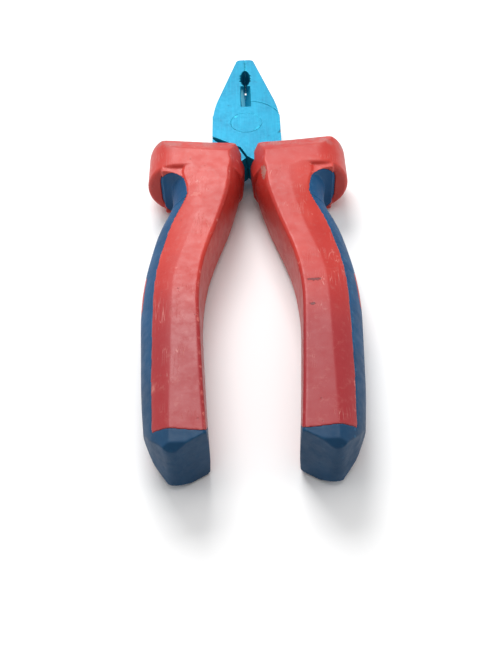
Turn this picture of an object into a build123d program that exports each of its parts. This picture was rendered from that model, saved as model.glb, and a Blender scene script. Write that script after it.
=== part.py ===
"""Insulated combination pliers, 160 mm size, closed: two identical forged halves that lap at a rivet,
each with an insulated tang, a hard grip with a hand guard, a soft outer spine and a soft thumb pad.

Frame: +Z up with the tool lying on its back face at Z = 0, jaws towards +Y, mirror plane X = 0,
origin under the middle of the overall length. All sizes are millimetres. Heights called h are
measured from the tool's mid plane, and stations called y from the widest line across the head.
"""

import os

from build123d import *

# ---------------------------------------------------------------- overall
overall_length = 160.0
jaw_reach = 36.7  # the head's widest line to the jaw tip
guard_thickness = 19.0  # the thickest part, so the tool rests on the guards
head_y = overall_length / 2 - jaw_reach
mid_z = guard_thickness / 2

# ---------------------------------------------------------------- steel halves
head_thickness = 9.5
head_half = head_thickness / 2
head_half_width = 10.8
tip_half_width = 2.7
tip_half_thickness = 4.6
flank_start_y = 8.0  # where the straight flank would meet the side of the head
flank_radius = 48.0
tip_radius = 1.6
pivot_offset = 1.6  # the pivot axis lies this far above the widest line
disc_radius = 11.4  # the lap joint's round cheek
disc_clearance = 0.12
sweep_radius = 12.75  # clears the cheek's corners as it turns
cheek_corner_y = -5.0
cheek_foot = (2.2, -10.7)
lap_gap = 0.1
jaw_gap = 0.1
crotch_gap = 0.2
shoulder_drop = 0.6  # the shoulder under the other half's cheek lies this much lower
crotch = (0.1, -15.2)
shoulder_end_y = -18.5
tang_half_thickness = 3.0
# station y, inner edge, outer edge
tang_rows = [
    (-17.0, 4.6, 11.0),
    (-24.0, 5.6, 12.2),
    (-36.0, 9.0, 15.6),
    (-54.0, 14.3, 20.6),
    (-72.0, 18.0, 23.7),
    (-90.0, 18.1, 23.5),
    (-106.0, 17.0, 22.0),
]

cutter_top_y = 21.4
cutter_foot_y = 10.0  # the bevels run on over the front cheek
cutter_half_width = 1.7
cutter_land = 0.8  # half height of the flat left at the cutting edge
burner_center_y = 25.8  # the oval pipe grip
burner_half_length = 4.45
burner_half_width = 1.55
serration_pitch = 0.85
serration_depth = 0.3
burner_tooth_pitch = 1.5
burner_tooth_depth = 0.45

rivet_radius = 3.5
rivet_head_radius = 5.0
rivet_running_clearance = 0.06

# ---------------------------------------------------------------- grips
sleeve_wall = 1.2
spine_depth = 2.6  # depth of the soft spine at the outermost line
seam_step = 1.0  # depth of its edge at the seam
edge_facet = 0.7  # the narrow facet along each inner edge
bevel_crown = 0.18  # of the bevel's drop
spine_start_y = -37.0
cap_seam_y = -117.8  # at the middle of the grip
cap_seam_x = 18.0
cap_seam_slope = 7.0
cap_tongue_y = -111.5  # the cap's pointed tongue on the inner side, up to here at mid height
cap_tongue_foot_y = -118.8
cap_tongue_x = 13.3

window_y = -69.5  # the hard core shows here through the soft spine
window_length = 13.0
window_height = 5.0

butt_inner = (10.0, -118.3)
butt_outer = (27.2, -113.2)
butt_outer_turn = (24.6, -118.4)
butt_apex_radius = 3.0
butt_apex_cut = 0.84  # the rounding takes this much off the apex
butt_apex = (19.6, jaw_reach - overall_length - butt_apex_cut)
butt_turn_radius = 6.0
butt_edge_break = 3.0

# Station y, inner edge, crease, seam with the spine, outermost line, half thickness, height of the seam and
# crown of the inner side, from the guard to beyond the butt. Between the rows the grip is smooth.
grip_rows = [
    (-20.0, 4.85, 12.5, 19.5, 23.0, 9.5, 8.9, 3.3),
    (-26.0, 5.0, 12.4, 18.9, 22.9, 9.48, 8.9, 2.7),
    (-30.0, 5.2, 12.4, 18.1, 22.7, 9.45, 8.9, 2.1),
    (-34.0, 5.65, 12.7, 17.6, 22.6, 9.25, 8.6, 1.4),
    (-38.0, 6.5, 13.3, 18.7, 23.6, 8.75, 7.6, 0.8),
    (-42.0, 7.55, 14.1, 20.6, 25.1, 8.25, 6.5, 0.4),
    (-46.0, 8.65, 15.1, 22.1, 26.3, 7.9, 5.9, 0.3),
    (-52.0, 10.35, 16.7, 23.6, 27.5, 7.7, 5.5, 0.3),
    (-60.0, 12.2, 18.8, 25.0, 28.7, 7.95, 5.7, 0.3),
    (-68.0, 13.2, 20.2, 25.7, 29.4, 8.5, 6.1, 0.3),
    (-76.0, 13.5, 20.4, 25.8, 29.5, 9.0, 6.5, 0.3),
    (-84.0, 13.2, 20.3, 25.6, 29.1, 9.3, 6.7, 0.3),
    (-92.0, 12.75, 20.1, 25.3, 28.6, 9.38, 6.8, 0.3),
    (-100.0, 12.3, 20.0, 25.0, 28.1, 9.36, 6.7, 0.3),
    (-108.0, 11.8, 19.9, 24.6, 27.4, 9.3, 6.6, 0.3),
    (-116.0, 11.2, 19.7, 24.1, 26.5, 9.2, 6.4, 0.3),
    (-126.0, 10.6, 19.5, 23.5, 25.3, 9.0, 6.1, 0.3),
]

# ---------------------------------------------------------------- hand guard
guard_round_x = 20.9  # centre of the guard's half-round outer end
guard_inner_x = 4.8
guard_inner_crown = 3.9
guard_underside_y = -24.4
guard_inner_run_out = 1.7  # the bulge has shrunk to this at the underside
guard_top = [
    (0.5, -16.2),
    (2.3, -12.9),
    (4.0, -11.6),
    (7.4, -11.3),
    (15.4, -10.8),
    (25.0, -9.9),
    (28.6, -10.3),
    (31.0, -12.6),
]
guard_bevel_low = (15.0, -16.8)
guard_bevel_slope = 7.5
guard_bevel_run = 6.0
guard_bevel_drop = 2.2
guard_rim_round = 1.1

# ---------------------------------------------------------------- thumb pad
thumb_center = (25.6, -34.0)  # the round hollow between the guard and the neck
thumb_radius = 8.3
web_half_height = 8.4
pad_depth = 2.0
pad_edge_x = 26.3
pad_half_height = 8.3
pad_corner_radius = 5.5


def level(h):
    """The level plane h above the mid plane, with its origin on the head's widest line."""
    return Plane(origin=(0, head_y, mid_z + h))


def station(y):
    """The upright plane across the tool at y, drawn in X and height, facing the butt."""
    return Plane(origin=(0, head_y + y, mid_z), x_dir=(1, 0, 0), z_dir=(0, -1, 0))


def side(x):
    """The upright plane along the tool at x, drawn in y and height."""
    return Plane(origin=(x, head_y, mid_z), x_dir=(0, 1, 0), z_dir=(1, 0, 0))


turn_axis = Axis((0, 0, mid_z), (0, 1, 0))
pivot_axis = Axis((0, head_y + pivot_offset, mid_z), (0, 0, 1))


def turned(part):
    """The same piece on the other half of the tool, half a turn about the tool's length."""
    return part.rotate(turn_axis, 180)


# ---------------------------------------------------------------- forged half
def jaw_sketch():
    """The left jaw in plan, from the tip down to the cheek's lower corner."""
    gap = jaw_gap / 2
    with BuildSketch() as jaw:
        with BuildLine():
            Polyline(
                (-gap, jaw_reach),
                (-tip_half_width, jaw_reach),
                (-head_half_width, flank_start_y),
                (-head_half_width, cheek_corner_y),
                (-cheek_foot[0], cheek_foot[1]),
                (-gap, 0),
                close=True,
            )
        make_face()
        fillet(jaw.vertices().sort_by_distance((-head_half_width, flank_start_y))[0], flank_radius)
        fillet(jaw.vertices().sort_by_distance((-tip_half_width, jaw_reach))[0], tip_radius)
    return jaw.sketch


def shoulder_sketch(lean):
    """The shoulder in plan, from the cheek into the guard. lean is -1 where its inner edge starts across the
    middle, in the cheek's own layer, and 1 in the other layer."""
    with BuildSketch() as shoulder:
        with BuildLine():
            Polyline(
                (lean * cheek_foot[0] + crotch_gap, -4),
                (lean * cheek_foot[0] + crotch_gap, cheek_foot[1]),
                (lean * crotch[0] + crotch_gap, crotch[1]),
                (1.6, -16.6),
                (4.8, shoulder_end_y),
                (11.0, shoulder_end_y),
                (head_half_width, -12),
                (head_half_width, -4),
                close=True,
            )
        make_face()
    return shoulder.sketch


def disc_sketch():
    """The round cheek, cut off at the sides of the head."""
    with BuildSketch() as disc:
        with Locations((0, pivot_offset)):
            Circle(disc_radius)
        Rectangle(2 * head_half_width, 3 * disc_radius, mode=Mode.INTERSECT)
    return disc.sketch


def tang_sketch(wall=0.0):
    """The tang inside the grip in plan, widened by wall on every side."""
    with BuildSketch() as tang:
        with BuildLine():
            inner = Spline([(x - wall, y) for y, x, _ in tang_rows])
            outer = Spline([(x + wall, y) for y, _, x in tang_rows])
            Line(inner @ 0, outer @ 0)
            end = Vector(0, -max(wall, 0.01))
            Polyline(inner @ 1, inner @ 1 + end, outer @ 1 + end, outer @ 1)
        make_face()
    return tang.sketch


def rivet_turning(slack):
    """The rivet as a turned solid with a countersunk head at both ends. slack thins the end that turns
    in the rear half."""
    head_depth = rivet_head_radius - rivet_radius
    lower = [
        (0, -head_half),
        (rivet_head_radius - slack, -head_half),
        (rivet_radius - slack, -head_half + head_depth - slack / 2),
    ]
    shoulder = [(rivet_radius - slack, lap_gap / 2), (rivet_radius, lap_gap / 2)] if slack else []
    upper = [(rivet_radius, head_half - head_depth), (rivet_head_radius, head_half), (0, head_half)]
    with BuildPart() as turning:
        with BuildSketch(Plane(pivot_axis.position, x_dir=(0, 1, 0), z_dir=(1, 0, 0))):
            with BuildLine():
                Polyline(lower + shoulder + upper, close=True)
            make_face()
        revolve(axis=pivot_axis)
    return turning.part


def grooves(center_y, pitch, count, face_x, depth):
    """Upright V grooves across a jaw face, as a row of prisms."""
    with BuildPart() as row:
        with BuildSketch(level(-head_thickness)):
            for i in range(count):
                y = center_y + (i - (count - 1) / 2) * pitch
                with BuildLine():
                    mouth_x = face_x + 0.3
                    Polyline((mouth_x, y - pitch / 2), (face_x - depth, y), (mouth_x, y + pitch / 2), close=True)
                make_face()
        extrude(amount=2 * head_thickness)
    return row.part


with BuildPart() as front_half:
    # front layer: the jaw, the round cheek and the shoulder in one piece
    with BuildSketch(level(lap_gap / 2)):
        add(jaw_sketch())
        add(disc_sketch())
        add(shoulder_sketch(-1))
    extrude(amount=head_half - lap_gap / 2)
    # back layer: the jaw and the shoulder, cut back to let the other cheek turn
    with BuildSketch(level(-head_half)):
        add(jaw_sketch())
        with Locations((0, pivot_offset)):
            Circle(disc_radius + disc_clearance, mode=Mode.SUBTRACT)
        Rectangle(40, 20, align=(Align.CENTER, Align.MAX), mode=Mode.SUBTRACT)
    extrude(amount=head_half + lap_gap / 2)
    with BuildSketch(level(-head_half + shoulder_drop)):
        add(shoulder_sketch(1))
        with Locations((0, pivot_offset)):
            Circle(sweep_radius, mode=Mode.SUBTRACT)
    extrude(amount=head_half - shoulder_drop + lap_gap / 2)
    # tang
    with BuildSketch(level(-tang_half_thickness)):
        add(tang_sketch())
    extrude(amount=2 * tang_half_thickness)
    # cutting edge: a bevel from each face down to a thin land, running out over the front cheek
    cheek_top_y = pivot_offset + disc_radius
    for facing, across, start_y in ((1, -1, cutter_top_y), (-1, -1, cutter_top_y), (1, 1, cheek_top_y)):
        with BuildSketch(station(start_y)):
            with BuildLine():
                Polyline(
                    (-across * 0.5, facing * cutter_land),
                    (across * jaw_gap / 2, facing * cutter_land),
                    (across * cutter_half_width, facing * (head_half + 0.1)),
                    (-across * 0.5, facing * (head_half + 0.1)),
                    close=True,
                )
            make_face()
        extrude(amount=start_y - cutter_foot_y, mode=Mode.SUBTRACT)
    # oval pipe grip and its coarse teeth
    with BuildSketch(level(-head_thickness)):
        with Locations((0, burner_center_y)):
            Ellipse(burner_half_width, burner_half_length)
    extrude(amount=2 * head_thickness, mode=Mode.SUBTRACT)
    coarse_teeth = grooves(burner_center_y, burner_tooth_pitch, 3, -burner_half_width, burner_tooth_depth)
    add(coarse_teeth, mode=Mode.SUBTRACT)
    # fine serrations at the nose
    add(grooves(33.0, serration_pitch, 5, -jaw_gap / 2, serration_depth), mode=Mode.SUBTRACT)
    # the nose thins towards the tip, on both faces
    for facing in (1, -1):
        with BuildSketch(side(-head_half_width - 1)):
            with BuildLine():
                Polyline(
                    (disc_radius + 3, facing * head_half),
                    (jaw_reach + 0.1, facing * tip_half_thickness),
                    (jaw_reach + 0.1, facing * (head_half + 0.1)),
                    (disc_radius + 3, facing * (head_half + 0.1)),
                    close=True,
                )
            make_face()
        extrude(amount=2 * head_half_width + 2, mode=Mode.SUBTRACT)
    add(rivet_turning(0), mode=Mode.SUBTRACT)

with BuildPart() as rear_half:
    add(turned(front_half.part))

# ---------------------------------------------------------------- rivet
with BuildPart() as pivot_rivet:
    add(rivet_turning(rivet_running_clearance))

# ---------------------------------------------------------------- insulation on the tang
with BuildPart() as tang_space:
    with BuildSketch(level(-tang_half_thickness - sleeve_wall)):
        add(tang_sketch(sleeve_wall))
    extrude(amount=2 * (tang_half_thickness + sleeve_wall))
    with BuildSketch(level(-head_half - sleeve_wall)):
        Rectangle(60, 40, align=(Align.CENTER, Align.MIN))
        Rectangle(60, -shoulder_end_y * 2, mode=Mode.ADD)
    extrude(amount=head_thickness + 2 * sleeve_wall, mode=Mode.SUBTRACT)

with BuildPart() as right_tang_sleeve:
    add(tang_space.part)
    add(front_half.part, mode=Mode.SUBTRACT)


# ---------------------------------------------------------------- grip
def grip_section(row):
    """One closed cross-section of the grip."""
    y, inner, crease, seam, outer, half, seam_h, crown = row
    side_h = half - edge_facet
    drop = half - seam_h
    bevel_x = (crease + seam) / 2 + bevel_crown * drop / 2
    bevel_h = (half + seam_h) / 2 + bevel_crown * drop
    with BuildSketch(station(y)) as section:
        with BuildLine():
            Line((inner + edge_facet, half), (crease, half))
            Bezier((crease, half), (bevel_x, bevel_h), (seam, seam_h))
            Bezier((seam, seam_h), (2 * outer - seam, 0), (seam, -seam_h))
            Bezier((seam, -seam_h), (bevel_x, -bevel_h), (crease, -half))
            Line((crease, -half), (inner + edge_facet, -half))
            Line((inner + edge_facet, -half), (inner, -side_h))
            Bezier((inner, -side_h), (inner - 2 * crown, 0), (inner, side_h))
            Line((inner, side_h), (inner + edge_facet, half))
        make_face()
    return section.sketch


def seat_section(row):
    """The same cross-section of the hard core's space: open to the front, back and inside, and stepped
    down to the spine's seat at both seams."""
    y, inner, crease, seam, outer, half, seam_h, crown = row
    lip_x, lip_h = seam + seam_step, seam_h + seam_step
    foot_x, foot_h = seam - seam_step, seam_h - seam_step
    with BuildSketch(station(y)) as section:
        with BuildLine():
            Bezier((foot_x, foot_h), (2 * (outer - spine_depth) - foot_x, 0), (foot_x, -foot_h))
            Polyline(
                (foot_x, -foot_h),
                (lip_x, -lip_h),
                (lip_x, -half - 2),
                (inner - 8, -half - 2),
                (inner - 8, half + 2),
                (lip_x, half + 2),
                (lip_x, lip_h),
                (foot_x, foot_h),
            )
        make_face()
    return section.sketch


with BuildPart() as guard:
    with BuildSketch(station(-5)):
        with BuildLine():
            reach = mid_z - edge_facet
            Line((guard_inner_x + edge_facet, mid_z), (guard_round_x, mid_z))
            ThreePointArc((guard_round_x, mid_z), (guard_round_x + mid_z, 0), (guard_round_x, -mid_z))
            Line((guard_round_x, -mid_z), (guard_inner_x + edge_facet, -mid_z))
            Line((guard_inner_x + edge_facet, -mid_z), (guard_inner_x, -reach))
            Bezier((guard_inner_x, -reach), (guard_inner_x - 2 * guard_inner_crown, 0), (guard_inner_x, reach))
            Line((guard_inner_x, reach), (guard_inner_x + edge_facet, mid_z))
        make_face()
    extrude(amount=25)
    # plan of the guard: its sloping top and its underside
    with BuildSketch(level(-guard_thickness)):
        with BuildLine():
            Spline(guard_top)
            Polyline(
                guard_top[-1],
                (31.0, guard_underside_y),
                (guard_inner_run_out, guard_underside_y),
                (0.9, -18.0),
                guard_top[0],
            )
        make_face()
    extrude(amount=2 * guard_thickness, mode=Mode.INTERSECT)
    fillet(guard.edges().filter_by_position(Axis.X, 20, 31), guard_rim_round)
    # long bevels from the top into the front and back faces
    across = Vector(1, 0, 0).rotate(Axis.Z, guard_bevel_slope)
    x, y = guard_bevel_low
    along = Vector(0, 1, 0).rotate(Axis.Z, guard_bevel_slope)
    bevel_plane = Plane(origin=(x, head_y + y, mid_z), x_dir=along, z_dir=across)
    for facing in (1, -1):
        with BuildSketch(bevel_plane):
            with BuildLine():
                Polyline(
                    (0, facing * mid_z),
                    (2 * guard_bevel_run, facing * (mid_z - 2 * guard_bevel_drop)),
                    (2 * guard_bevel_run, facing * (mid_z + 1)),
                    (0, facing * (mid_z + 1)),
                    close=True,
                )
            make_face()
        extrude(amount=30, both=True, mode=Mode.SUBTRACT)


with BuildPart() as grip_envelope:
    for row in grip_rows:
        add(grip_section(row))
    loft()
    Box(200, 400, guard_thickness, align=(Align.CENTER, Align.CENTER, Align.MIN), mode=Mode.INTERSECT)
    # the butt comes to a blunt wedge
    with BuildSketch(level(-guard_thickness)) as beyond:
        with BuildLine():
            Polyline(
                butt_inner,
                butt_apex,
                butt_outer_turn,
                butt_outer,
                (40, -110),
                (40, -140),
                (0, -140),
                (0, -118),
                close=True,
            )
        make_face()
        fillet(beyond.vertices().sort_by_distance(butt_apex)[0], butt_apex_radius)
        fillet(beyond.vertices().sort_by_distance(butt_outer_turn)[0], butt_turn_radius)
    extrude(amount=2 * guard_thickness, mode=Mode.SUBTRACT)
    add(guard.part)
    # the web that rounds the neck into the guard's underside
    with BuildSketch(level(-web_half_height)):
        with BuildLine():
            x, y = thumb_center
            Polyline((12, guard_underside_y + 1), (x, guard_underside_y + 1), (x, y), (12, y), close=True)
        make_face()
        with Locations(thumb_center):
            Circle(thumb_radius, mode=Mode.SUBTRACT)
    extrude(amount=2 * web_half_height)

    # the butt's edges are blunt on both faces
    for facing in (1, -1):
        with BuildSketch(side(0)):
            with BuildLine():
                Polyline(
                    (butt_apex[1] + butt_edge_break, facing * mid_z),
                    (butt_apex[1] - 1, facing * (mid_z - butt_edge_break - 1)),
                    (butt_apex[1] - 1, facing * (mid_z + 1)),
                    (butt_apex[1] + butt_edge_break, facing * (mid_z + 1)),
                    close=True,
                )
            make_face()
        extrude(amount=40, mode=Mode.SUBTRACT)


with BuildPart() as window_space:
    with BuildSketch(side(20)) as window:
        with Locations((window_y, 0)):
            Rectangle(window_length, window_height)
        fillet(window.vertices(), 1.2)
    extrude(amount=15)

with BuildPart() as core_space:
    for row in grip_rows:
        add(seat_section(row))
    loft()
    # nothing of the core reaches past the butt cap's slanting seam
    with BuildSketch(level(-guard_thickness)):
        with Locations((cap_seam_x, cap_seam_y)):
            Rectangle(80, 30, rotation=cap_seam_slope, align=(Align.CENTER, Align.MAX))
    extrude(amount=2 * guard_thickness, mode=Mode.SUBTRACT)
    with BuildSketch(side(0)):
        with BuildLine():
            slope = (cap_tongue_y - cap_tongue_foot_y) / mid_z
            Polyline(
                (cap_tongue_y, 0),
                (cap_tongue_y - 12 * slope, 12),
                (cap_tongue_y - 12 * slope, -12),
                close=True,
            )
        make_face()
    extrude(amount=cap_tongue_x, mode=Mode.SUBTRACT)

with BuildPart() as soft_skin:
    # all the soft material on the neck and the handle, below the guard
    add(grip_envelope.part)
    add(core_space.part, mode=Mode.SUBTRACT)
    with BuildSketch(station(guard_underside_y)):
        Rectangle(100, 60)
    extrude(amount=-60, mode=Mode.SUBTRACT)

with BuildPart() as right_soft_grip:
    # the spine and the butt cap, in one piece
    add(soft_skin.part)
    with BuildSketch(station(spine_start_y)):
        Rectangle(100, 60)
    extrude(amount=-60, mode=Mode.SUBTRACT)
    add(window_space.part, mode=Mode.SUBTRACT)

with BuildPart() as thumb_space:
    # the pad's outline is a D seen along the tool, and it follows the round hollow seen from the front
    with BuildSketch(level(-guard_thickness)):
        with Locations(thumb_center):
            Circle(thumb_radius + pad_depth)
    extrude(amount=2 * guard_thickness)
    with BuildSketch(station(guard_underside_y + 3)) as outline:
        with Locations((pad_edge_x, 0)):
            Rectangle(pad_edge_x - 8, 2 * pad_half_height, align=(Align.MAX, Align.CENTER))
        fillet(outline.vertices().group_by(Axis.X)[-1], pad_corner_radius)
    extrude(amount=30, mode=Mode.INTERSECT)

with BuildPart() as right_thumb_pad:
    add(grip_envelope.part)
    add(thumb_space.part, mode=Mode.INTERSECT)
    add(core_space.part, mode=Mode.SUBTRACT)
    with BuildSketch(station(spine_start_y)):
        Rectangle(100, 60)
    extrude(amount=30, mode=Mode.SUBTRACT)

with BuildPart() as right_grip_core:
    add(grip_envelope.part)
    add(right_soft_grip.part, mode=Mode.SUBTRACT)
    add(right_thumb_pad.part, mode=Mode.SUBTRACT)
    add(tang_space.part, mode=Mode.SUBTRACT)
    add(front_half.part, mode=Mode.SUBTRACT)

# ---------------------------------------------------------------- the other handle, and the files
pieces = {
    "front_jaw_half": front_half.part,
    "rear_jaw_half": rear_half.part,
    "pivot_rivet": pivot_rivet.part,
}
for name, piece in {
    "tang_sleeve": right_tang_sleeve.part,
    "grip_core": right_grip_core.part,
    "soft_grip": right_soft_grip.part,
    "thumb_pad": right_thumb_pad.part,
}.items():
    pieces[f"right_{name}"] = piece
    pieces[f"left_{name}"] = turned(piece)

os.makedirs("parts", exist_ok=True)
for name, piece in pieces.items():
    piece.label = name
    export_step(piece, f"parts/{name}.step")
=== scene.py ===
"""Looks of the insulated combination pliers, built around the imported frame.

Blender works in metres, and sizes here are millimetres times MM. Places on the tool are given across, along
from the widest line of the head, and above mid thickness.
"""

import math

import bmesh
import bpy
from mathutils import Matrix, Vector


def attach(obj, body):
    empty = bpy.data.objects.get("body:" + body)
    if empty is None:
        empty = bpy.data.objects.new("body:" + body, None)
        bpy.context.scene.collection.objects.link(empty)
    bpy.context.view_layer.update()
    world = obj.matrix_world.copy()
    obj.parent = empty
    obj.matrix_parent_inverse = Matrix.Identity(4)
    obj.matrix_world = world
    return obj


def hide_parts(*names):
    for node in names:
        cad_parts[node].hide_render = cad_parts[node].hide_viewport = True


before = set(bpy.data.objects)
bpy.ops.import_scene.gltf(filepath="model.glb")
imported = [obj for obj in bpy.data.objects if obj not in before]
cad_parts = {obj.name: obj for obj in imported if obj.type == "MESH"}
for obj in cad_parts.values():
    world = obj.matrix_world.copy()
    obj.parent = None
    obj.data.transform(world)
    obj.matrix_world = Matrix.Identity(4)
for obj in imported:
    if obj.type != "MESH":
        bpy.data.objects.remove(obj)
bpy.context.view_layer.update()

MM = 0.001
HEAD_Y = 43.3  # the head's widest line, in mm from the origin
MID_Z = 9.5
RIGHT, LEFT = "right_half", "left_half"

CAMERA_ELEVATION, CAMERA_AZIMUTH, CAMERA_ROLL = 50, 0.25, -1.73  # degrees
CAMERA_DISTANCE = 236.7  # mm, to the middle of the view
CAMERA_LENS, CAMERA_SENSOR = 48.576, 36
VIEW_MIDDLE_Y = -82.3  # from the widest line of the head

JAW_START_Y = 13.3  # the jaws meet above this, beyond the round cheek
JAW_GAP_LEFT = 0.003  # between each drawn jaw face and the mirror plane
HEAD_END_Y, TANG_START_Y = -20, -19.5  # where the fine skin hands over to the coarse one
TANG_SKIN = 0.5


# ------------------------------------------------------------------ camera, floor and light
def place_camera():
    elevation, azimuth, roll = (math.radians(d) for d in (CAMERA_ELEVATION, CAMERA_AZIMUTH, CAMERA_ROLL))
    flat = math.cos(elevation)
    back = Vector((math.sin(azimuth) * flat, -math.cos(azimuth) * flat, math.sin(elevation)))
    target = Vector((-0.5, VIEW_MIDDLE_Y + HEAD_Y, MID_Z)) * MM
    right = Vector((0, 0, 1)).cross(back).normalized()
    up = back.cross(right)
    across = math.cos(roll) * right + math.sin(roll) * up
    upward = -math.sin(roll) * right + math.cos(roll) * up
    camera = bpy.data.objects.new("camera", bpy.data.cameras.new("camera"))
    camera.data.sensor_width = CAMERA_SENSOR
    camera.data.lens = CAMERA_LENS
    camera.data.clip_start, camera.data.clip_end = 0.01, 5
    spin = Matrix((across, upward, back)).transposed()
    camera.matrix_world = Matrix.Translation(target + back * CAMERA_DISTANCE * MM) @ spin.to_4x4()
    bpy.context.collection.objects.link(camera)
    bpy.context.scene.camera = camera


def area_light(name, place, aim, size, power, colour=(1, 1, 1)):
    light = bpy.data.lights.new(name, "AREA")
    light.shape, light.size, light.size_y = "RECTANGLE", size[0], size[1]
    light.energy, light.color = power, colour
    lamp = bpy.data.objects.new(name, light)
    lamp.location = Vector(place)
    lamp.rotation_euler = (Vector(aim) - Vector(place)).to_track_quat("-Z", "Y").to_euler()
    bpy.context.collection.objects.link(lamp)


def studio():
    area_light("key", (-0.12, 0.42, 0.5), (0, 0.0, 0), (0.35, 0.3), 4.0)
    area_light("top", (0.05, 0.0, 0.7), (0, -0.02, 0), (0.5, 0.5), 1.5)
    area_light("left", (-0.55, -0.05, 0.22), (0, -0.02, 0.01), (0.3, 0.3), 0.6)
    area_light("right", (0.55, -0.05, 0.22), (0, -0.02, 0.01), (0.3, 0.3), 0.6)
    world = bpy.data.worlds.new("world")
    world.use_nodes = True
    world.node_tree.nodes["Background"].inputs["Color"].default_value = (1.0, 1.0, 1.0, 1)
    world.node_tree.nodes["Background"].inputs["Strength"].default_value = 0.42
    bpy.context.scene.world = world
    bpy.ops.mesh.primitive_plane_add(size=4, location=(0, 0, -0.0002))
    floor = bpy.context.object
    floor.name = "floor"
    material = bpy.data.materials.new("floor")
    material.use_nodes = True
    shader = material.node_tree.nodes["Principled BSDF"]
    shader.inputs["Base Color"].default_value = (0.9, 0.9, 0.9, 1)
    shader.inputs["Roughness"].default_value = 0.9
    floor.data.materials.append(material)


# ------------------------------------------------------------------ material helpers
def srgb(r, g, b):
    """Linear colour of an 8-bit display colour."""
    shares = (c / 255 for c in (r, g, b))
    return tuple(c / 12.92 if c <= 0.04045 else ((c + 0.055) / 1.055) ** 2.4 for c in shares) + (1,)


class Shade:
    """A material's nodes, added one at a time."""

    def __init__(self, name):
        self.material = bpy.data.materials.new(name)
        self.material.use_nodes = True
        self.nodes, self.links = self.material.node_tree.nodes, self.material.node_tree.links
        self.shader = self.nodes["Principled BSDF"]
        self.place = self.nodes.new("ShaderNodeTexCoord").outputs["Object"]
        self.xyz = None

    def feed(self, socket, value):
        if isinstance(value, bpy.types.NodeSocket):
            self.links.new(value, socket)
        else:
            socket.default_value = value

    def scaled(self, size_mm, stretch, shift):
        """Coordinates that grow by one over every size_mm, times the stretch along each axis."""
        mapping = self.nodes.new("ShaderNodeMapping")
        self.links.new(self.place, mapping.inputs["Vector"])
        mapping.inputs["Scale"].default_value = [1 / (size_mm * MM * s) for s in stretch]
        mapping.inputs["Location"].default_value = shift
        return mapping.outputs["Vector"]

    def noise(self, size_mm, detail=3, rough=0.5, stretch=(1, 1, 1), shift=(0, 0, 0)):
        """0 to 1 noise whose features are about size_mm across."""
        noise = self.nodes.new("ShaderNodeTexNoise")
        self.links.new(self.scaled(size_mm, stretch, shift), noise.inputs["Vector"])
        noise.inputs["Scale"].default_value = 1
        noise.inputs["Detail"].default_value = detail
        noise.inputs["Roughness"].default_value = rough
        return noise.outputs["Fac"]

    def cells(self, size_mm, feature="F1", stretch=(1, 1, 1), shift=(0, 0, 0)):
        """Distance to the nearest cell centre or, as DISTANCE_TO_EDGE, to the nearest cell wall."""
        cells = self.nodes.new("ShaderNodeTexVoronoi")
        cells.feature = feature
        self.links.new(self.scaled(size_mm, stretch, shift), cells.inputs["Vector"])
        cells.inputs["Scale"].default_value = 1
        return cells.outputs["Distance"]

    def ramp(self, value, low, high, out_low=0.0, out_high=1.0):
        """A smooth step from out_low at low to out_high at high."""
        node = self.nodes.new("ShaderNodeMapRange")
        node.interpolation_type = "SMOOTHSTEP"
        self.feed(node.inputs["Value"], value)
        limits = {"From Min": low, "From Max": high, "To Min": out_low, "To Max": out_high}
        for key, number in limits.items():
            node.inputs[key].default_value = number
        return node.outputs["Result"]

    def math(self, operation, a, b=0.0):
        node = self.nodes.new("ShaderNodeMath")
        node.operation = operation
        self.feed(node.inputs[0], a)
        self.feed(node.inputs[1], b)
        return node.outputs[0]

    def mix(self, factor, a, b, blend="MIX"):
        node = self.nodes.new("ShaderNodeMix")
        node.data_type, node.blend_type = "RGBA", blend
        self.feed(node.inputs[0], factor)
        self.feed(node.inputs[6], a)
        self.feed(node.inputs[7], b)
        return node.outputs[2]

    def axis(self, name):
        """One object coordinate, X, Y or Z."""
        if self.xyz is None:
            self.xyz = self.nodes.new("ShaderNodeSeparateXYZ")
            self.links.new(self.place, self.xyz.inputs[0])
        return self.xyz.outputs[name]

    def spot(self, centre_mm, radii_mm, ragged=0.35, grain_mm=1.2, edge=0.35):
        """1 inside an oval patch with a ragged rim, 0 outside."""
        mapping = self.nodes.new("ShaderNodeMapping")
        mapping.vector_type = "TEXTURE"
        self.links.new(self.place, mapping.inputs["Vector"])
        mapping.inputs["Location"].default_value = [c * MM for c in centre_mm]
        mapping.inputs["Scale"].default_value = [r * MM for r in radii_mm]
        length = self.nodes.new("ShaderNodeVectorMath")
        length.operation = "LENGTH"
        self.links.new(mapping.outputs["Vector"], length.inputs[0])
        jitter = self.math("SUBTRACT", self.noise(grain_mm, 4, 0.65), 0.5)
        jitter = self.math("MULTIPLY", jitter, ragged * 4)
        return self.ramp(self.math("ADD", length.outputs["Value"], jitter), 1.0, 1.0 - edge)

    def edges(self, low, high):
        """Worn edges, or painted shade in corners where high is below low."""
        geometry = self.nodes.new("ShaderNodeNewGeometry")
        return self.ramp(geometry.outputs["Pointiness"], low, high)

    def bump(self, height, distance_mm, strength=1.0, under=None):
        node = self.nodes.new("ShaderNodeBump")
        node.inputs["Distance"].default_value = distance_mm * MM
        node.inputs["Strength"].default_value = strength
        self.feed(node.inputs["Height"], height)
        if under is not None:
            self.links.new(under, node.inputs["Normal"])
        return node.outputs["Normal"]

    def finish(self, colour, rough, normal=None, **plain):
        self.feed(self.shader.inputs["Base Color"], colour)
        self.feed(self.shader.inputs["Roughness"], rough)
        if normal is not None:
            self.links.new(normal, self.shader.inputs["Normal"])
        for key, value in plain.items():
            self.shader.inputs["IOR" if key == "ior" else key.title()].default_value = value
        return self.material


def row(x, y, h):
    """The frame's point, in mm, at a place on the tool."""
    return (x, y + HEAD_Y, h + MID_Z)


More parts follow.
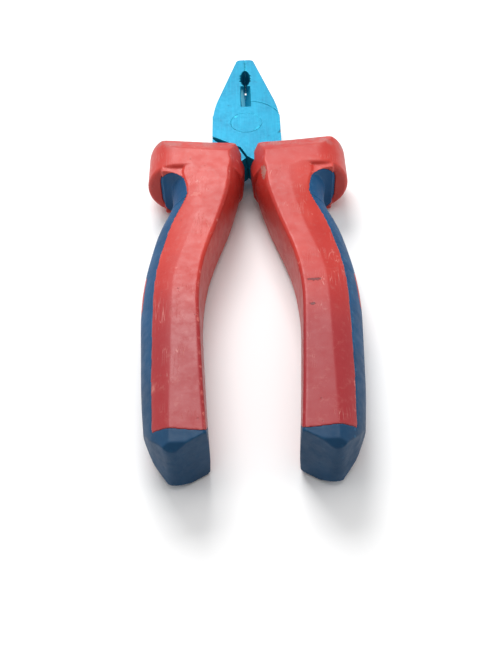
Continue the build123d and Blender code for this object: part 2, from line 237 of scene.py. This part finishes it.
# ------------------------------------------------------------------ materials
def red_plastic(name, side):
    """Faded hard red grip. side is 1 for the right handle and -1 for the left."""
    s = Shade(name)
    clean = s.mix(s.ramp(s.noise(22, 3), 0.35, 0.7), srgb(188, 52, 42), srgb(176, 44, 38))
    pale = s.ramp(s.noise(6, 4, 0.6, stretch=(1, 2.5, 1)), 0.5, 0.8, 0, 0.35)
    clean = s.mix(pale, clean, srgb(200, 78, 66))
    # painted shade: the grip is darker towards the palm than at the guard
    palm = s.ramp(s.axis("Y"), (HEAD_Y - 62) * MM, (HEAD_Y - 92) * MM, 0, 0.75)
    clean = s.mix(palm, clean, srgb(138, 34, 44))
    dust = s.ramp(s.noise(2.2, 5, 0.7), 0.52, 0.75, 0, 0.35)
    dust_and_sheen = s.mix(dust, clean, srgb(176, 100, 94))
    # painted sheen: pale pinkish grey on the bevel above the guard
    top = s.math(
        "MULTIPLY",
        s.ramp(s.axis("Y"), (HEAD_Y - 17.5) * MM, (HEAD_Y - 12) * MM),
        s.ramp(s.noise(3.5, 4, 0.6), 0.42, 0.62, 0, 0.6),
    )
    dust_and_sheen = s.mix(top, dust_and_sheen, srgb(158, 112, 110))
    patchy = s.ramp(s.noise(1.6, 4, 0.7), 0.4, 0.62, 0.05, 0.5)
    worn = s.mix(s.math("MULTIPLY", s.edges(0.52, 0.58), patchy), dust_and_sheen, srgb(216, 128, 118))
    # long thin scratches along the grip, and small pits
    walls = s.cells(1.0, "DISTANCE_TO_EDGE", stretch=(0.9, 14, 1.6), shift=(3.1, 0.4, 1.7))
    scratches = s.ramp(walls, 0.035, 0.0)
    scratches = s.math("MULTIPLY", scratches, s.ramp(s.noise(7, 3, 0.6), 0.52, 0.68, 0, 0.8))
    colour = s.mix(s.math("MULTIPLY", scratches, 0.4), worn, srgb(232, 168, 156))
    pits = s.ramp(s.cells(3.4, "F1", shift=(0.3, 2.2, 5.1)), 0.1, 0.04)
    pits = s.math("MULTIPLY", pits, s.ramp(s.noise(9, 2), 0.5, 0.6))
    colour = s.mix(s.math("MULTIPLY", pits, 0.6), colour, srgb(120, 44, 44))
    if side > 0:
        nicks = s.math(
            "MAXIMUM",
            s.spot(row(16.9, -71.5, 8.8), (2.0, 0.6, 4), 0.6, 0.6),
            s.spot(row(15.9, -80.5, 9.0), (0.8, 0.5, 4), 0.5, 0.6),
        )
        colour = s.mix(s.math("MULTIPLY", nicks, 0.75), colour, srgb(70, 20, 26))
        scuff = s.spot(row(4.6, -27.0, 8.4), (1.3, 3.0, 1.6), 0.5, 0.9)
        colour = s.mix(s.math("MULTIPLY", scuff, 0.7), colour, srgb(160, 132, 122))
        dents = s.math("MAXIMUM", nicks, scuff)
    else:
        dents = s.spot(row(-15.0, -36.5, 9.5), (1.6, 1.0, 3), 0.6, 0.8)
        colour = s.mix(s.math("MULTIPLY", dents, 0.35), colour, srgb(214, 128, 118))
        dents = s.math("MULTIPLY", dents, 0.3)
    rough = s.ramp(s.noise(3.0, 4, 0.6), 0.3, 0.8, 0.4, 0.55)
    grain = s.bump(s.noise(0.35, 3, 0.6), 0.02, 0.5)
    grain = s.bump(s.noise(2.4, 3, 0.5), 0.03, 0.4, grain)
    hurt = s.math("ADD", s.math("ADD", scratches, pits), s.math("MULTIPLY", dents, 1.5))
    normal = s.bump(s.math("MULTIPLY", hurt, -1.0), 0.06, 0.7, grain)
    return s.finish(colour, rough, normal, ior=1.42)


def blue_rubber(name):
    """Matt soft grip, with painted shade darkening it towards the butt."""
    s = Shade(name)
    base = s.mix(s.ramp(s.noise(14, 3), 0.35, 0.7), srgb(2, 72, 116), srgb(2, 60, 100))
    # painted shade: darker towards the butt
    butt = s.ramp(s.axis("Y"), (HEAD_Y - 70) * MM, (HEAD_Y - 120) * MM, 0, 0.6)
    base = s.mix(butt, base, srgb(1, 46, 72))
    dust = s.math("MULTIPLY", s.ramp(s.noise(1.5, 5, 0.7), 0.52, 0.8), 0.35)
    base = s.mix(dust, base, srgb(30, 84, 114))
    worn = s.mix(s.math("MULTIPLY", s.edges(0.52, 0.58), 0.25), base, srgb(44, 112, 150))
    rough = s.ramp(s.noise(2.5, 4, 0.6), 0.3, 0.8, 0.5, 0.68)
    grain = s.bump(s.noise(0.22, 2, 0.6), 0.03, 0.6)
    normal = s.bump(s.noise(1.8, 3, 0.5), 0.05, 0.4, grain)
    return s.finish(worn, rough, normal, ior=1.35)


def tinted_steel(name):
    """Steel under a blue lacquer, with grinding marks along the tool."""
    s = Shade(name)
    base = s.mix(s.ramp(s.noise(9, 4, 0.6), 0.35, 0.7), srgb(2, 132, 166), srgb(1, 120, 154))
    streak = s.ramp(s.noise(0.5, 4, 0.7, stretch=(1, 22, 1)), 0.42, 0.7, 0, 0.5)
    base = s.mix(streak, base, srgb(8, 148, 180))
    stain = s.ramp(s.noise(2.6, 5, 0.7, shift=(4, 1, 2)), 0.56, 0.74, 0, 0.5)
    base = s.mix(stain, base, srgb(6, 92, 122))
    bare = s.math("MULTIPLY", s.edges(0.515, 0.57), s.ramp(s.noise(0.9, 4, 0.7), 0.35, 0.6, 0.25, 0.9))
    base = s.mix(bare, base, srgb(44, 190, 216))
    # painted highlight: the left cutting bevel is coloured bright, as if it caught the light
    bevel_highlight = s.spot(row(-0.95, 15.7, 2.6), (0.85, 6.4, 2.9), 0.1, 0.8, 0.2)
    base = s.mix(s.math("MULTIPLY", bevel_highlight, 0.9), base, srgb(150, 238, 252))
    # painted shade: darker in hollows and creases
    hollow_shade = s.math("MULTIPLY", s.edges(0.48, 0.42), 0.35)
    base = s.mix(hollow_shade, base, srgb(20, 60, 78))
    rough = s.ramp(s.noise(1.2, 4, 0.6), 0.3, 0.75, 0.42, 0.56)
    grind = s.bump(s.noise(0.16, 3, 0.7, stretch=(1, 30, 1)), 0.01, 0.5)
    normal = s.bump(s.noise(3.0, 3, 0.5), 0.05, 0.35, grind)
    return s.finish(base, rough, normal, metallic=0.35, ior=1.35)


def sleeve_plastic(name):
    """Glossy inner insulation."""
    s = Shade(name)
    base = s.mix(s.ramp(s.noise(8, 3), 0.4, 0.7), srgb(238, 196, 60), srgb(226, 180, 48))
    rough = s.ramp(s.noise(2, 3), 0.3, 0.7, 0.3, 0.42)
    return s.finish(base, rough, s.bump(s.noise(0.5, 2), 0.01, 0.4))


# ------------------------------------------------------------------ pieces from the frame's solids
def mesh_of(node, keep_above=None, keep_below=None):
    """A welded copy of a frame node's mesh, cut off along the tool at a station if asked."""
    build = bmesh.new()
    build.from_mesh(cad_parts[node].data)
    bmesh.ops.remove_doubles(build, verts=build.verts, dist=1e-6)
    for limit, outer in ((keep_above, False), (keep_below, True)):
        if limit is not None:
            cut = bmesh.ops.bisect_plane(
                build,
                geom=build.verts[:] + build.edges[:] + build.faces[:],
                plane_co=(0, (limit + HEAD_Y) * MM, 0),
                plane_no=(0, 1, 0),
                clear_inner=not outer,
                clear_outer=outer,
            )
            rim = [e for e in cut["geom_cut"] if isinstance(e, bmesh.types.BMEdge)]
            bmesh.ops.holes_fill(build, edges=rim, sides=0)
    mesh = bpy.data.meshes.new(node)
    build.to_mesh(mesh)
    build.free()
    return mesh


def moulded(name, mesh, voxel_mm, rounds, factor=0.5):
    """The mesh remade as one even skin, its edges softened by the given rounds of smoothing."""
    piece = bpy.data.objects.new(name, mesh)
    bpy.context.collection.objects.link(piece)
    remesh = piece.modifiers.new("skin", "REMESH")
    remesh.mode, remesh.voxel_size = "VOXEL", voxel_mm * MM
    smooth = piece.modifiers.new("soften", "SMOOTH")
    smooth.factor, smooth.iterations = factor, rounds
    graph = bpy.context.evaluated_depsgraph_get()
    made = bpy.data.meshes.new_from_object(piece.evaluated_get(graph))
    piece.modifiers.clear()
    piece.data = made
    made.materials.clear()
    made.shade_smooth()
    return piece


def joined(name, pieces):
    """One object from several."""
    build = bmesh.new()
    for piece in pieces:
        build.from_mesh(piece.data)
        bpy.data.objects.remove(piece)
    mesh = bpy.data.meshes.new(name)
    build.to_mesh(mesh)
    build.free()
    mesh.shade_smooth()
    whole = bpy.data.objects.new(name, mesh)
    bpy.context.collection.objects.link(whole)
    return whole


def close_jaws(piece, sign):
    """Draw the meeting faces of the jaws up to the mirror plane, where the remade skin fell back."""
    for vertex in piece.data.vertices:
        x, y, z = (c / MM for c in vertex.co)
        reach = 0.35 if abs(z - MID_Z) < 0.9 else 0.16
        if abs(x) < reach and y - HEAD_Y > JAW_START_Y:
            vertex.co.x = sign * JAW_GAP_LEFT * MM


def dress(piece, material, body, slot, *nodes):
    """Give a piece its material and its body, and hide the nodes that it stands in for. slot is not used.
    """
    piece.data.materials.append(material)
    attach(piece, body)
    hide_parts(*nodes)


place_camera()
studio()
bpy.context.scene.view_settings.view_transform = "Standard"

FINE = 0.15
SKIN = 0.27

steel = tinted_steel("tinted_steel")
rubber = blue_rubber("blue_rubber")
yellow = sleeve_plastic("inner_sleeve")
for node, body in (("front_jaw_half", RIGHT), ("rear_jaw_half", LEFT)):
    head = moulded(node + "_head", mesh_of(node, keep_above=HEAD_END_Y), FINE, 2)
    close_jaws(head, -1 if body == RIGHT else 1)
    tang = moulded(node + "_tang", mesh_of(node, keep_below=TANG_START_Y), TANG_SKIN, 2)
    dress(joined(node + "_forging", [head, tang]), steel, body, "forged_steel", node)
rivet = moulded("ground_rivet", mesh_of("pivot_rivet"), FINE, 1)
dress(rivet, steel, RIGHT, "rivet_steel", "pivot_rivet")

for side, body, sign in (("right", RIGHT, 1), ("left", LEFT, -1)):
    core = moulded(side + "_hard_shell", mesh_of(side + "_grip_core"), SKIN, 3)
    dress(core, red_plastic(side + "_red_plastic", sign), body, "hard_grip", side + "_grip_core")
    soft = moulded(side + "_soft_back", mesh_of(side + "_soft_grip"), SKIN, 2)
    dress(soft, rubber, body, "soft_grip", side + "_soft_grip")
    pad = moulded(side + "_thumb_rest", mesh_of(side + "_thumb_pad"), SKIN * 0.8, 2)
    dress(pad, rubber, body, "soft_grip", side + "_thumb_pad")
    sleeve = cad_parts[side + "_tang_sleeve"]
    for material_slot in sleeve.material_slots:
        material_slot.material = yellow
